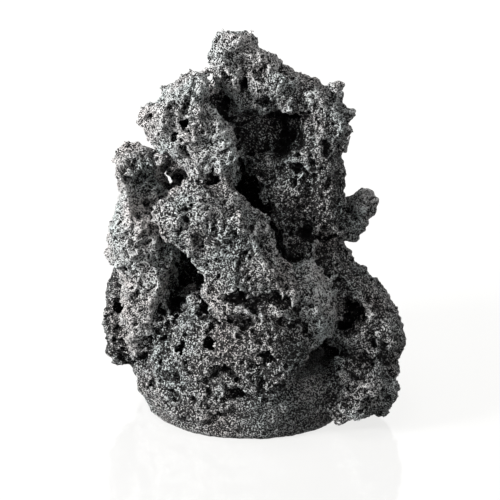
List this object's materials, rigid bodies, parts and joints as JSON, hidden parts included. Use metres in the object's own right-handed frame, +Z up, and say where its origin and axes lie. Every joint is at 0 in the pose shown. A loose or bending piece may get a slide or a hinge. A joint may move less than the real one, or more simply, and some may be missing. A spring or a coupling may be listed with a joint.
{
  "type": "resin cave ornament",
  "caption": "Free-standing aquarium cave of porous lava-like rock on a round foot ring, with a tall front cleft, side mouths and a window.",
  "frame": {"origin": "centre of the foot ring's underside, at the mouth of its bore", "axes": "+Z up along the ornament's height, front with the cleft at -Y, +X to the right seen from the front"},
  "size_m": [0.1582, 0.133, 0.2039],
  "materials": {
    "rock": "satin",
    "foot": "satin"
  },
  "bodies": {
    "root": {"foot_ring": "foot", "left_shoulder": "rock", "right_wall": "rock", "back_wall": "rock", "right_buttress": "rock", "left_foot": "rock", "front_boulder": "rock", "bridge": "rock", "left_crag": "rock", "crest": "rock", "summit": "rock", "left_spur": "rock", "right_spur": "rock", "left_boulder": "rock", "right_boulder": "rock", "right_foot": "rock", "rear_left_boulder": "rock", "rear_right_boulder": "rock", "rear_crag": "rock"}
  },
  "joints": []
}
